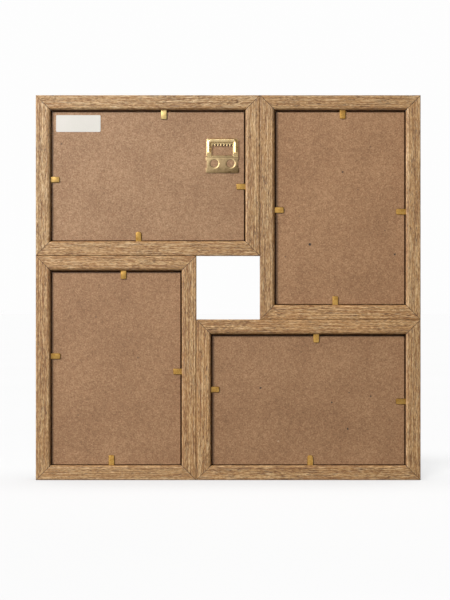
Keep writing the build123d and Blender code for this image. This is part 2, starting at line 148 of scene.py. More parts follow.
# ------------------------------------------------------------------------- node material helper
class Mat:
    def __init__(self, name):
        self.m = bpy.data.materials.new(name)
        self.m.use_nodes = True
        self.nt = self.m.node_tree
        self.nt.nodes.clear()
        self.out = self.nt.nodes.new("ShaderNodeOutputMaterial")
        self.bsdf = self.nt.nodes.new("ShaderNodeBsdfPrincipled")
        self.nt.links.new(self.bsdf.outputs[0], self.out.inputs["Surface"])

    def link(self, a, b):
        self.nt.links.new(a, b)

    def put(self, socket, value):
        if isinstance(value, bpy.types.NodeSocket):
            self.link(value, socket)
        else:
            socket.default_value = value

    def set(self, name, value):
        self.put(self.bsdf.inputs[name], value)

    def node(self, kind):
        return self.nt.nodes.new(kind)

    def attribute(self, name, out="Vector"):
        n = self.node("ShaderNodeAttribute")
        n.attribute_name = name
        return n.outputs[out]

    def object_co(self):
        return self.node("ShaderNodeTexCoord").outputs["Object"]

    def scaled(self, vec, scale):
        n = self.node("ShaderNodeVectorMath")
        n.operation = "MULTIPLY"
        self.link(vec, n.inputs[0])
        n.inputs[1].default_value = scale
        return n.outputs[0]

    def shifted(self, vec, value):
        n = self.node("ShaderNodeVectorMath")
        n.operation = "ADD"
        self.link(vec, n.inputs[0])
        self.put(n.inputs[1], value)
        return n.outputs[0]

    def noise(self, vec, scale=1.0, detail=2.0, rough=0.5, distort=0.0, out="Fac"):
        n = self.node("ShaderNodeTexNoise")
        self.link(vec, n.inputs["Vector"])
        n.inputs["Scale"].default_value = scale
        n.inputs["Detail"].default_value = detail
        n.inputs["Roughness"].default_value = rough
        n.inputs["Distortion"].default_value = distort
        return n.outputs[0 if out == "Fac" else 1]

    def voronoi(self, vec, scale=1.0, feature="F1", out="Distance", randomness=1.0):
        n = self.node("ShaderNodeTexVoronoi")
        n.feature = feature
        self.link(vec, n.inputs["Vector"])
        n.inputs["Scale"].default_value = scale
        n.inputs["Randomness"].default_value = randomness
        return n.outputs[out]

    def math(self, op, a, b=0.0, clamp=False):
        n = self.node("ShaderNodeMath")
        n.operation = op
        n.use_clamp = clamp
        self.put(n.inputs[0], a)
        self.put(n.inputs[1], b)
        return n.outputs[0]

    def fit(self, value, lo, hi, to_lo=0.0, to_hi=1.0, smooth=False):
        n = self.node("ShaderNodeMapRange")
        n.interpolation_type = "SMOOTHSTEP" if smooth else "LINEAR"
        n.clamp = True
        self.put(n.inputs["Value"], value)
        n.inputs["From Min"].default_value = lo
        n.inputs["From Max"].default_value = hi
        n.inputs["To Min"].default_value = to_lo
        n.inputs["To Max"].default_value = to_hi
        return n.outputs[0]

    def ramp(self, fac, stops, mode="EASE"):
        n = self.node("ShaderNodeValToRGB")
        n.color_ramp.interpolation = mode
        els = n.color_ramp.elements
        while len(els) > 1:
            els.remove(els[-1])
        els[0].position, els[0].color = stops[0]
        for pos, col in stops[1:]:
            e = els.new(pos)
            e.color = col
        self.link(fac, n.inputs["Fac"])
        return n.outputs["Color"]

    def mix(self, fac, a, b, mode="MIX"):
        n = self.node("ShaderNodeMix")
        n.data_type = "RGBA"
        n.blend_type = mode
        n.clamp_factor = True
        self.put(n.inputs[0], fac)
        self.put(n.inputs[6], a)
        self.put(n.inputs[7], b)
        return n.outputs[2]

    def bump(self, height, distance, strength=1.0, normal=None):
        n = self.node("ShaderNodeBump")
        n.inputs["Strength"].default_value = strength
        n.inputs["Distance"].default_value = distance
        self.link(height, n.inputs["Height"])
        if normal is not None:
            self.link(normal, n.inputs["Normal"])
        self.link(n.outputs[0], self.bsdf.inputs["Normal"])
        return n.outputs[0]

    def separate(self, vec):
        n = self.node("ShaderNodeSeparateXYZ")
        self.link(vec, n.inputs[0])
        return n.outputs

    def combine(self, x, y, z):
        n = self.node("ShaderNodeCombineXYZ")
        self.put(n.inputs[0], x)
        self.put(n.inputs[1], y)
        self.put(n.inputs[2], z)
        return n.outputs[0]


# ------------------------------------------------------------------------- materials
def oak_material():
    """Oak-grain foil over a moulding. rail_co holds millimetres along the rail, millimetres round its
    section, and the rail's own number; relief is the pressed grain that the mesh itself carries."""
    m = Mat("oak_grain")
    co = m.attribute("rail_co")
    relief = m.attribute("relief", "Fac")
    tone = m.attribute("tone", "Fac")
    # the lines wander sideways as they run along
    x, y, z = m.separate(co)
    sway = m.noise(m.scaled(co, (0.010, 0.05, 7.0)), 1.0, 1.0, 0.5)
    sway_fine = m.noise(m.scaled(co, (0.10, 0.30, 5.0)), 1.0, 1.0, 0.5)
    y2 = m.math("ADD", y, m.math("ADD", m.math("MULTIPLY", sway, 2.0), m.math("MULTIPLY", sway_fine, 0.30)))
    co2 = m.combine(x, y2, z)
    seam = m.attribute("seam", "Fac")
    bare_and_shaded = m.attribute("bare_and_shaded", "Fac")
    streak = m.noise(m.scaled(co2, (0.008, 1.50, 3.0)), 1.0, 1.0, 0.5)
    line = m.noise(m.scaled(co2, (0.06, 1.75, 11.0)), 1.0, 1.0, 0.5)
    dash_n = m.noise(m.scaled(co2, (0.36, 1.85, 2.0)), 1.0, 2.0, 0.6)
    fibre = m.noise(m.scaled(co2, (0.45, 4.4, 2.0)), 1.0, 2.0, 0.6)
    patch = m.noise(m.scaled(co, (0.022, 0.06, 9.0)), 1.0, 2.0, 0.5)
    body = m.math("ADD", m.math("MULTIPLY", streak, 0.30), m.math("MULTIPLY", line, 0.14))
    body = m.math("ADD", body, m.math("MULTIPLY", dash_n, 0.44))
    body = m.math("ADD", body, m.math("MULTIPLY", fibre, 0.07))
    body = m.math("ADD", body, m.math("MULTIPLY", relief, 0.05))
    body = m.fit(body, 0.39, 0.61)
    colour = m.ramp(body, [
        (0.00, srgb(106, 66, 26)),
        (0.24, srgb(148, 106, 60)),
        (0.50, srgb(180, 141, 93)),
        (0.76, srgb(204, 169, 121)),
        (1.00, srgb(236, 208, 166)),
    ], "LINEAR")
    # warmer and cooler stretches, and each rail a little different from the next
    warm = m.fit(patch, 0.36, 0.66, 0.0, 1.0)
    colour = m.mix(warm, colour, m.mix(0.24, colour, srgb(174, 120, 66)))
    colour = m.mix(m.fit(tone, 0.0, 1.0, 0.0, 0.20), colour, m.mix(0.5, colour, srgb(200, 166, 118)))
    # growth lines: each one darkens slowly and ends sharply, and fades in and out on its way
    drift = m.noise(m.scaled(co, (0.016, 0.16, 6.0)), 1.0, 1.0, 0.5)
    ring_at = m.math("DIVIDE", m.math("ADD", y2, m.math("MULTIPLY", drift, 5.0)), 1.85)
    ring = m.math("FRACT", ring_at)
    ring = m.math("MULTIPLY", m.fit(ring, 0.35, 0.80), m.fit(ring, 0.84, 1.0, 1.0, 0.0))
    ring = m.math("MULTIPLY", ring, m.fit(m.noise(m.scaled(co2, (0.24, 0.60, 31.0)), 1.0, 1.0, 0.5), 0.40, 0.62))
    colour = m.mix(m.math("MULTIPLY", ring, 0.50), colour, srgb(108, 68, 30))
    # open pores: thin dark dashes, sunk, in drifts
    pore_n = m.noise(m.scaled(co2, (0.30, 3.4, 13.0)), 1.0, 1.0, 0.4)
    pore_mask = m.noise(m.scaled(co, (0.06, 0.40, 4.0)), 1.0, 1.0, 0.5)
    pore = m.math("MULTIPLY", m.fit(pore_n, 0.56, 0.66), m.fit(pore_mask, 0.40, 0.62))
    colour = m.mix(m.math("MULTIPLY", pore, 0.85), colour, srgb(78, 46, 18))
    # dark dashes, and thin pale streaks that run longer
    dash = m.fit(m.noise(m.scaled(co2, (0.40, 1.7, 17.0)), 1.0, 1.0, 0.5), 0.60, 0.70)
    colour = m.mix(m.math("MULTIPLY", dash, 0.62), colour, srgb(102, 64, 28))
    fleck = m.fit(m.noise(m.scaled(co2, (0.10, 1.9, 21.0)), 1.0, 1.0, 0.5), 0.60, 0.70)
    colour = m.mix(m.math("MULTIPLY", fleck, 0.60), colour, srgb(240, 212, 170))
    # the foil ends inside the rebate, where the wood is bare and stained dark, darkened further as painted shade in
    # the recess
    colour = m.mix(m.math("MULTIPLY", bare_and_shaded, 0.85), colour, m.mix(m.fit(fibre, 0.35, 0.65), srgb(104, 66, 34), srgb(134, 90, 52)))
    colour = m.mix(m.fit(seam, 0.0, 1.0, 0.0, 0.85), colour, srgb(52, 31, 14))
    colour = m.mix(1.0, colour, m.attribute("tint", "Color"), "MULTIPLY")
    m.set("Base Color", colour)
    m.set("Roughness", m.math("MAXIMUM", m.fit(body, 0.0, 1.0, 0.60, 0.44), m.math("MULTIPLY", bare_and_shaded, 0.9)))
    m.set("Specular IOR Level", 0.5)
    height = m.math("SUBTRACT", m.math("ADD", m.math("MULTIPLY", line, 0.6), m.math("MULTIPLY", fibre, 0.45)),
                    m.math("MULTIPLY", pore, 0.8))
    m.bump(height, 0.00022, 0.85)
    return m.m


# dark and pale bits that stand out on the boards: x, z in the row, size, strength (pale below zero)
BITS = (
    (90.0, 241.9, 0.9, 0.75), (64.2, 185.0, 1.35, 0.95), (131.0, 177.2, 0.9, 0.85), (123.3, 195.9, 0.7, 0.5),
    (45.0, 175.3, 0.7, 0.5), (56.0, 207.2, 0.6, 0.45), (111.8, 261.8, 0.7, 0.5), (102.0, 228.0, 0.6, 0.5),
    (25.5, 72.2, 1.0, 0.8), (81.5, 60.8, 0.9, 0.75), (112.0, 65.7, 0.8, 0.7), (94.0, 40.0, 0.9, 0.8),
    (95.0, 68.4, 0.7, 0.6), (39.4, 30.2, 0.9, -0.6), (-131.0, 264.0, 0.7, 0.6), (-48.0, 200.0, 0.7, -0.5),
    (-104.0, 128.0, 0.7, 0.5), (-71.0, 96.0, 0.8, 0.5), (-118.0, 51.0, 0.7, 0.45), (-38.0, 218.0, 0.6, 0.45),
)


def board_material():
    """Smooth-one-side hardboard: fine pressed fibre with a cloudy tone and scattered dark bits."""
    m = Mat("hardboard")
    co = m.scaled(m.object_co(), (1000.0, 1000.0, 1000.0))
    cloud = m.noise(m.scaled(co, (0.030, 0.030, 0.030)), 1.0, 2.0, 0.5)
    mottle = m.noise(m.scaled(co, (0.26, 0.26, 0.26)), 1.0, 2.0, 0.55, 0.3)
    grain = m.noise(m.scaled(co, (0.95, 0.95, 0.95)), 1.0, 3.0, 0.68)
    hair = m.noise(m.scaled(co, (3.0, 3.0, 3.0)), 1.0, 2.0, 0.7, 0.8)
    chips = m.node("ShaderNodeTexVoronoi")
    m.link(m.scaled(co, (0.85, 0.85, 0.85)), chips.inputs["Vector"])
    chips.inputs["Scale"].default_value = 1.0
    chip = m.separate(chips.outputs["Color"])[0]
    v = m.math("ADD", m.math("MULTIPLY", cloud, 0.14), m.math("MULTIPLY", mottle, 0.14))
    v = m.math("ADD", v, m.math("MULTIPLY", grain, 0.40))
    v = m.math("ADD", v, m.math("MULTIPLY", hair, 0.24))
    v = m.math("ADD", v, m.math("MULTIPLY", chip, 0.08))
    v = m.fit(v, 0.38, 0.62)
    colour = m.ramp(v, [
        (0.0, srgb(122, 86, 54)),
        (0.5, srgb(154, 117, 82)),
        (1.0, srgb(185, 148, 112)),
    ], "LINEAR")
    red = m.fit(m.noise(m.scaled(co, (0.55, 0.55, 0.55)), 1.0, 2.0, 0.6), 0.45, 0.70)
    colour = m.mix(m.math("MULTIPLY", red, 0.16), colour, srgb(162, 110, 74))
    # small dark bits of bark, each cell has one, few of them big enough to see
    cell = m.node("ShaderNodeTexVoronoi")
    m.link(m.scaled(co, (0.16, 0.16, 0.16)), cell.inputs["Vector"])
    cell.inputs["Scale"].default_value = 1.0
    size = m.fit(m.separate(cell.outputs["Color"])[0], 0.60, 1.0, 0.0, 0.065)
    bit = m.fit(m.math("SUBTRACT", size, cell.outputs["Distance"]), 0.0, 0.035)
    colour = m.mix(m.math("MULTIPLY", bit, 0.50), colour, srgb(90, 62, 44))
    pale = m.node("ShaderNodeTexVoronoi")
    m.link(m.scaled(co, (0.30, 0.30, 0.30)), pale.inputs["Vector"])
    pale.inputs["Scale"].default_value = 1.0
    psize = m.fit(m.separate(pale.outputs["Color"])[1], 0.72, 1.0, 0.0, 0.11)
    pbit = m.fit(m.math("SUBTRACT", psize, pale.outputs["Distance"]), 0.0, 0.06)
    colour = m.mix(m.math("MULTIPLY", pbit, 0.36), colour, srgb(192, 160, 126))
    # the few that stand out
    wob = m.math("MULTIPLY", m.noise(m.scaled(co, (1.6, 1.6, 1.6)), 1.0, 1.0, 0.5), 0.9)
    x, y, z = m.separate(co)
    flat = m.combine(x, 0.0, z)
    dark_sum, pale_sum = None, None
    for bx, bz, size, strength in BITS:
        d = m.node("ShaderNodeVectorMath")
        d.operation = "DISTANCE"
        m.link(flat, d.inputs[0])
        d.inputs[1].default_value = (bx, 0.0, bz)
        f = m.fit(m.math("ADD", d.outputs["Value"], wob), size * 0.55 + 0.42, size + 0.50, min(1.0, abs(strength) * 1.2), 0.0)
        if strength > 0:
            dark_sum = f if dark_sum is None else m.math("MAXIMUM", dark_sum, f)
        else:
            pale_sum = f if pale_sum is None else m.math("MAXIMUM", pale_sum, f)
    colour = m.mix(dark_sum, colour, srgb(40, 25, 16))
    colour = m.mix(pale_sum, colour, srgb(204, 174, 142))
    # and a row of painted shade on the board behind the seven notches of the bail's saw strip, darkening the notch
    # gaps
    row = m.math("MULTIPLY", m.fit(x, -13.2, -12.8), m.fit(x, 3.8, 4.2, 1.0, 0.0))
    turn = m.math("FRACT", m.math("ADD", m.math("DIVIDE", m.math("ADD", x, 4.5), 2.39), 100.5))
    off = m.math("MULTIPLY", m.math("ABSOLUTE", m.math("SUBTRACT", turn, 0.5)), 2.39)
    up = m.math("DIVIDE", m.math("SUBTRACT", z, 263.1), 1.25)
    off = m.math("DIVIDE", off, 0.95)
    away = m.math("ADD", m.math("MULTIPLY", off, off), m.math("MULTIPLY", up, up))
    away = m.math("ADD", away, m.math("MULTIPLY", m.math("SUBTRACT", mottle, 0.5), 0.9))
    painted_notch_shade = m.math("MULTIPLY", row, m.fit(away, 0.30, 1.05, 1.0, 0.0))
    colour = m.mix(m.math("MULTIPLY", painted_notch_shade, 0.86), colour, srgb(44, 27, 15))
    colour = m.mix(1.0, colour, m.attribute("tint", "Color"), "MULTIPLY")
    m.set("Base Color", colour)
    m.set("Roughness", m.fit(mottle, 0.3, 0.7, 0.62, 0.50))
    m.set("Specular IOR Level", 0.5)
    height = m.math("ADD", m.math("MULTIPLY", grain, 0.7), m.math("MULTIPLY", hair, 0.5))
    m.bump(height, 0.00012, 0.7)
    return m.m


def brass_material(name, bright, dull, stain_and_shade, rough_lo, rough_hi, wear=0.5, brushed=(0.5, 0.5, 0.5), strip=False,
                   crease_shade=(), plate=None, fine=1.0):
    """Brass-plated sheet: brushed along one direction, stained and rubbed in patches, with painted light and shade on
    the plate and the bail where asked for.
    """
    m = Mat(name)
    co = m.scaled(m.object_co(), (1000.0, 1000.0, 1000.0))
    patch = m.noise(m.scaled(co, (0.42, 0.42, 0.42)), 1.0, 3.0, 0.6, 0.3)
    brush = m.noise(m.scaled(co, brushed), 1.0, 3.0, 0.65)
    speck = m.noise(m.scaled(co, (3.2, 3.2, 3.2)), 1.0, 2.0, 0.6)
    tone = m.math("ADD", m.math("MULTIPLY", patch, 0.6), m.math("MULTIPLY", brush, 0.4))
    colour = m.ramp(m.fit(tone, 0.34, 0.66), [(0.0, dull), (0.55, bright), (1.0, bright)], "LINEAR")
    aged = m.math("MULTIPLY", m.fit(m.noise(m.scaled(co, (0.22, 0.22, 0.22)), 1.0, 3.0, 0.65), 0.46, 0.68), wear)
    colour = m.mix(aged, colour, stain_and_shade)
    colour = m.mix(m.math("MULTIPLY", m.fit(speck, 0.62, 0.74), 0.35 * fine), colour, stain_and_shade)
    if plate:
        # painted light and shade: lighter toward the upper left, darker toward one lower corner and along the bottom
        # edge; the countersinks are rubbed bright and also carry a painted highlight
        x0, x1, z0, z1, holes, hole_z, r0, r1, rubbed_and_lit = plate
        x, y, z = m.separate(co)
        lit_to_shaded = m.math("ADD", m.fit(x, x0, x1, 0.0, 0.5), m.fit(z, z0, z1, 0.5, 0.0))
        lit_to_shaded = m.math("ADD", lit_to_shaded, m.fit(patch, 0.3, 0.7, -0.16, 0.16))
        colour = m.mix(m.fit(lit_to_shaded, 0.10, 0.45, 0.55, 0.0), colour, rubbed_and_lit)
        colour = m.mix(m.fit(lit_to_shaded, 0.52, 0.92, 0.0, 0.85), colour, stain_and_shade)
        # painted shade along the plate's bottom edge
        colour = m.mix(m.fit(z, z0 + 0.3, z0 + 2.4, 0.45, 0.0), colour, stain_and_shade)
        spot = m.combine(x, 0.0, z)
        ring, hole_edge_shadow = None, None
        for hx in holes:
            d = m.node("ShaderNodeVectorMath")
            d.operation = "DISTANCE"
            m.link(spot, d.inputs[0])
            d.inputs[1].default_value = (hx, 0.0, hole_z)
            f = m.fit(d.outputs["Value"], r1 - 0.15, r1 + 0.15, 1.0, 0.0)
            ring = f if ring is None else m.math("MAXIMUM", ring, f)
            f = m.fit(d.outputs["Value"], r0 + 0.12, r0 + 0.42, 1.0, 0.0)
            hole_edge_shadow = f if hole_edge_shadow is None else m.math("MAXIMUM", hole_edge_shadow, f)
        # the countersink ring: rubbed bright, and lightened further as a painted highlight
        colour = m.mix(m.math("MULTIPLY", ring, 0.45), colour, rubbed_and_lit)
        # a painted shadow just inside each hole's edge
        colour = m.mix(m.math("MULTIPLY", hole_edge_shadow, 0.80), colour, stain_and_shade)
    if strip:
        # each strip has its own degree of tarnish, and the brighter ones carry a painted glint; it is darkest along
        # the cut edges, with tarnish and painted contact shade
        own = m.attribute("tone", "Fac")
        colour = m.mix(m.fit(own, 0.2, 0.9, 0.42, 0.0), colour, srgb(132, 92, 34))
        # the high end of the tone is a painted glint
        colour = m.mix(m.fit(own, 0.6, 1.0, 0.0, 0.75), colour, srgb(255, 236, 170))
        # tarnish and painted contact shade along the strip's edges and tip
        colour = m.mix(m.math("MULTIPLY", m.fit(m.attribute("edge", "Fac"), 0.15, 0.75), 0.85), colour, srgb(84, 52, 18))
        colour = m.mix(1.0, colour, m.attribute("tint", "Color"), "MULTIPLY")
    # painted shade along the crease under the bar: (height, half width, from x, to x, strength)
    for at, half, x0, x1, strength in crease_shade:
        x, y, z = m.separate(co)
        off = m.math("ABSOLUTE", m.math("SUBTRACT", z, at))
        here = m.math("MULTIPLY", m.fit(x, x0 - 0.2, x0 + 0.2), m.fit(x, x1 - 0.2, x1 + 0.2, 1.0, 0.0))
        here = m.math("MULTIPLY", here, m.fit(off, half * 0.4, half, 1.0, 0.0))
        colour = m.mix(m.math("MULTIPLY", here, strength), colour, srgb(70, 46, 20))
    m.set("Base Color", colour)
    m.set("Metallic", 1.0)
    rough = m.math("ADD", m.fit(tone, 0.34, 0.66, rough_hi, rough_lo), m.math("MULTIPLY", aged, 0.18))
    if plate:
        rough = m.math("ADD", rough, m.math("MULTIPLY", ring, 0.16))
    m.set("Roughness", rough)
    m.bump(m.math("ADD", m.math("MULTIPLY", brush, 0.6), m.math("MULTIPLY", speck, 0.3)), 0.00004 * fine, 0.5)
    return m.m


def steel_material():
    m = Mat("nail_steel")
    co = m.scaled(m.object_co(), (1000.0, 1000.0, 1000.0))
    n = m.noise(m.scaled(co, (1.2, 0.4, 1.2)), 1.0, 3.0, 0.6)
    m.set("Base Color", m.ramp(n, [(0.3, srgb(120, 120, 122)), (0.7, srgb(176, 177, 180))], "LINEAR"))
    m.set("Metallic", 1.0)
    m.set("Roughness", m.fit(n, 0.3, 0.7, 0.42, 0.28))
    m.bump(n, 0.00003, 0.5)
    return m.m


def plain_wood_material():
    m = Mat("beech_dowel")
    co = m.scaled(m.object_co(), (1000.0, 1000.0, 1000.0))
    n = m.noise(m.scaled(co, (0.3, 2.0, 2.0)), 1.0, 3.0, 0.6)
    m.set("Base Color", m.ramp(n, [(0.3, srgb(196, 162, 118)), (0.7, srgb(222, 192, 150))], "LINEAR"))
    m.set("Roughness", m.fit(n, 0.3, 0.7, 0.7, 0.55))
    m.bump(n, 0.00008, 0.5)
    return m.m


def paper_material(name, base, low, fibre_scale, rough=0.75, sheen=0.0):
    m = Mat(name)
    co = m.scaled(m.object_co(), (1000.0, 1000.0, 1000.0))
    n = m.noise(m.scaled(co, (fibre_scale,) * 3), 1.0, 4.0, 0.65, 0.6)
    cloud = m.noise(m.scaled(co, (0.05, 0.05, 0.05)), 1.0, 2.0, 0.5)
    t = m.math("ADD", m.math("MULTIPLY", n, 0.6), m.math("MULTIPLY", cloud, 0.4))
    m.set("Base Color", m.ramp(m.fit(t, 0.35, 0.65), [(0.0, low), (1.0, base)], "LINEAR"))
    m.set("Roughness", m.fit(n, 0.3, 0.7, rough, rough - 0.12))
    m.set("Specular IOR Level", 0.35)
    m.bump(n, 0.00004, 0.5)
    return m.m


def insert_material():
    """Plain insert sheet with a thin printed keyline and a dark rim painted as shade, in the sheet's own millimetres
    (sheet_co).
    """
    m = Mat("insert_paper")
    co = m.attribute("sheet_co")
    x, y, z = m.separate(co)
    fibre = m.noise(m.scaled(m.combine(x, y, 0.0), (1.4, 1.4, 1.0)), 1.0, 4.0, 0.6, 0.5)
    base = m.ramp(fibre, [(0.3, srgb(205, 202, 193)), (0.7, srgb(216, 213, 205))], "LINEAR")
    # z is the distance in from the sheet's edge
    def band(lo, hi):
        return m.math("MULTIPLY", m.fit(z, lo - 0.08, lo + 0.08), m.fit(z, hi - 0.08, hi + 0.08, 1.0, 0.0))
    line = m.math("MAXIMUM", band(14.0, 14.55), m.math("MULTIPLY", band(16.0, 16.2), 0.7))
    colour = m.mix(m.math("MULTIPLY", line, 0.85), base, srgb(112, 106, 96))
    inner = m.fit(z, 16.8, 17.0)
    colour = m.mix(m.math("MULTIPLY", inner, 0.6), colour, srgb(190, 185, 174))
    # a dark brown rim within 1.8 mm of the sheet's edge: painted shade in the gap beside the board
    colour = m.mix(m.fit(z, 1.7, 1.9, 1.0, 0.0), colour, srgb(74, 52, 34))
    m.set("Base Color", colour)
    m.set("Roughness", m.fit(fibre, 0.3, 0.7, 0.6, 0.45))
    m.bump(fibre, 0.00003, 0.4)
    return m.m


def glass_material():
    m = Mat("picture_glass")
    co = m.scaled(m.object_co(), (1000.0, 1000.0, 1000.0))
    dust = m.noise(m.scaled(co, (0.9, 0.9, 0.9)), 1.0, 4.0, 0.7)
    m.set("Base Color", m.ramp(dust, [(0.3, (0.93, 0.97, 0.955, 1.0)), (0.7, (0.96, 0.985, 0.975, 1.0))], "LINEAR"))
    m.set("Transmission Weight", 1.0)
    m.set("IOR", 1.5)
    m.set("Roughness", m.fit(dust, 0.45, 0.75, 0.0, 0.05))
    m.bump(m.noise(m.scaled(co, (0.03, 0.03, 0.03)), 1.0, 1.0, 0.5), 0.00006, 0.4)
    path = m.node("ShaderNodeLightPath")
    clear = m.node("ShaderNodeBsdfTransparent")
    clear.inputs[0].default_value = (0.93, 0.96, 0.95, 1.0)
    both = m.node("ShaderNodeMixShader")
    m.link(path.outputs["Is Shadow Ray"], both.inputs[0])
    m.link(m.bsdf.outputs[0], both.inputs[1])
    m.link(clear.outputs[0], both.inputs[2])
    m.link(both.outputs[0], m.out.inputs["Surface"])
    return m.m


OAK = oak_material()
BOARD = board_material()
TAB_BRASS = brass_material("tab_brass", srgb(226, 181, 102), srgb(168, 122, 52), srgb(108, 72, 30),
                           0.30, 0.46, 0.45, (1.4, 1.4, 1.4), True)
# the bail's material carries a painted shade line along the crease under its bar
BAIL_BRASS = brass_material("bail_brass", srgb(226, 200, 150), srgb(200, 170, 116), srgb(128, 96, 54),
                            0.20, 0.26, 0.12, (1.2, 1.2, 1.2), False, ((265.25, 0.40, -13.6, 4.4, 0.70),), None, 0.35)
# the plate carries painted light and shade: a light upper left, a dark lower corner and bottom edge, light rings and
# shadowed hole edges
PLATE_BRASS = brass_material("plate_brass", srgb(156, 134, 100), srgb(124, 104, 74), srgb(78, 60, 36),
                             0.34, 0.48, 0.45, (0.5, 2.4, 2.4), False, (),
                             (-17.7, 8.5, 241.0, 254.9, (-10.98, 1.78), 248.6, 3.0, 4.05, srgb(206, 182, 138)))
STEEL = steel_material()
DOWEL = plain_wood_material()
STICKER = paper_material("sticker_paper", srgb(232, 232, 229), srgb(222, 222, 219), 2.2, 0.6)
INSERT = insert_material()
GLASS = glass_material()


# ------------------------------------------------------------------------- mesh helpers
def new_object(name, verts, faces, material, smooth=True):
    me = bpy.data.meshes.new(name)
    me.from_pydata([tuple(v) for v in verts], [], faces)
    me.materials.append(material)
    ob = bpy.data.objects.new(name, me)
    bpy.context.scene.collection.objects.link(ob)
    bm = bmesh.new()
    bm.from_mesh(me)
    bmesh.ops.recalc_face_normals(bm, faces=bm.faces)
    bm.to_mesh(me)
    bm.free()
    if smooth:
        me.shade_smooth()
        me.set_sharp_from_angle(angle=math.radians(38))
    return ob


def to_row(frame_name, side, points):
    """Points in a rail's own frame (x along it, y depth, z inwards from its outer edge) to the row."""
    x0, z0, w, h = FRAMES[frame_name]
    p = np.asarray(points, float)
    x, y, z = p[:, 0], p[:, 1], p[:, 2]
    if side == "bottom":
        return np.stack([x0 + w / 2 + x, y, z0 + z], 1) * MM
    if side == "top":
        return np.stack([x0 + w / 2 - x, y, z0 + h - z], 1) * MM
    if side == "left":
        return np.stack([x0 + z, y, z0 + h / 2 - x], 1) * MM
    return np.stack([x0 + w - z, y, z0 + h / 2 + x], 1) * MM


def along(frame_name, side, value):
    x0, z0, w, h = FRAMES[frame_name]
    middle = x0 + w / 2 if side in ("top", "bottom") else z0 + h / 2
    d = value - middle
    return d if side in ("bottom", "right") else -d


# ------------------------------------------------------------------------- rails
def section_points():
    """The moulding's outline as (y, u, smooth normal, unrolled length)."""
    pts = []

    def line(a, b, step):
        n = max(1, int(round(math.dist(a, b) / step)))
        for i in range(n):
            t = i / n
            pts.append((a[0] + (b[0] - a[0]) * t, a[1] + (b[1] - a[1]) * t))

    def arc(c, r, a0, a1, n):
        for i in range(n):
            a = math.radians(a0 + (a1 - a0) * i / n)
            pts.append((c[0] + r * math.cos(a), c[1] + r * math.sin(a)))

    o, f, b = BACK_OUT_R, FRONT_OUT_R, BACK_IN_R
    line((Y_BACK + o, 0.0), (Y_FRONT - f, 0.0), 0.75)
    arc((Y_FRONT - f, f), f, -90, 0, 5)
    line((Y_FRONT, f), (Y_FRONT, FRONT_FLAT_END), 0.55)
    # hollow slope through three points
    p1, p2, p3 = (Y_FRONT, FRONT_FLAT_END), (Y_FRONT - 1.45, 12.35), (SIGHT_TOP_Y + 0.6, RAIL_W - 0.9)
    d = 2 * (p1[0] * (p2[1] - p3[1]) + p2[0] * (p3[1] - p1[1]) + p3[0] * (p1[1] - p2[1]))
    s1, s2, s3 = (p[0] ** 2 + p[1] ** 2 for p in (p1, p2, p3))
    cx = (s1 * (p2[1] - p3[1]) + s2 * (p3[1] - p1[1]) + s3 * (p1[1] - p2[1])) / d
    cy = (s1 * (p3[0] - p2[0]) + s2 * (p1[0] - p3[0]) + s3 * (p2[0] - p1[0])) / d
    r = math.hypot(p1[0] - cx, p1[1] - cy)
    a0 = math.degrees(math.atan2(p1[1] - cy, p1[0] - cx))
    a1 = math.degrees(math.atan2(p3[1] - cy, p3[0] - cx))
    if a1 - a0 > 180:
        a1 -= 360
    if a0 - a1 > 180:
        a1 += 360
    arc((cx, cy), r, a0, a1, 12)
    arc((SIGHT_TOP_Y - 0.3, RAIL_W - 0.9), 0.9, 0, 90, 5)
    line((SIGHT_TOP_Y - 0.3, RAIL_W), (SEAT_Y, RAIL_W), 0.7)
    line((SEAT_Y, RAIL_W), (SEAT_Y, REBATE_W), 0.9)
    line((SEAT_Y, REBATE_W), (Y_BACK + b, REBATE_W), 0.7)
    arc((Y_BACK + b, REBATE_W - b), b, 90, 180, 8)
    line((Y_BACK, REBATE_W - b), (Y_BACK, o), 0.42)
    arc((Y_BACK + o, o), o, 180, 270, 5)
    pts = np.array(pts)
    nxt, prv = np.roll(pts, -1, 0), np.roll(pts, 1, 0)
    t = nxt - prv
    t /= np.linalg.norm(t, axis=1)[:, None]
    normal = np.stack([t[:, 1], -t[:, 0]], 1)        # points out of the wood
    centre = np.array([2.0, 8.0])
    flip = ((pts[0] - centre) @ normal[0]) < 0
    if flip:
        normal = -normal
    length = np.concatenate([[0], np.cumsum(np.linalg.norm(nxt - pts, axis=1))[:-1]])
    return pts, normal, length


SECTION, SECTION_N, SECTION_S = section_points()


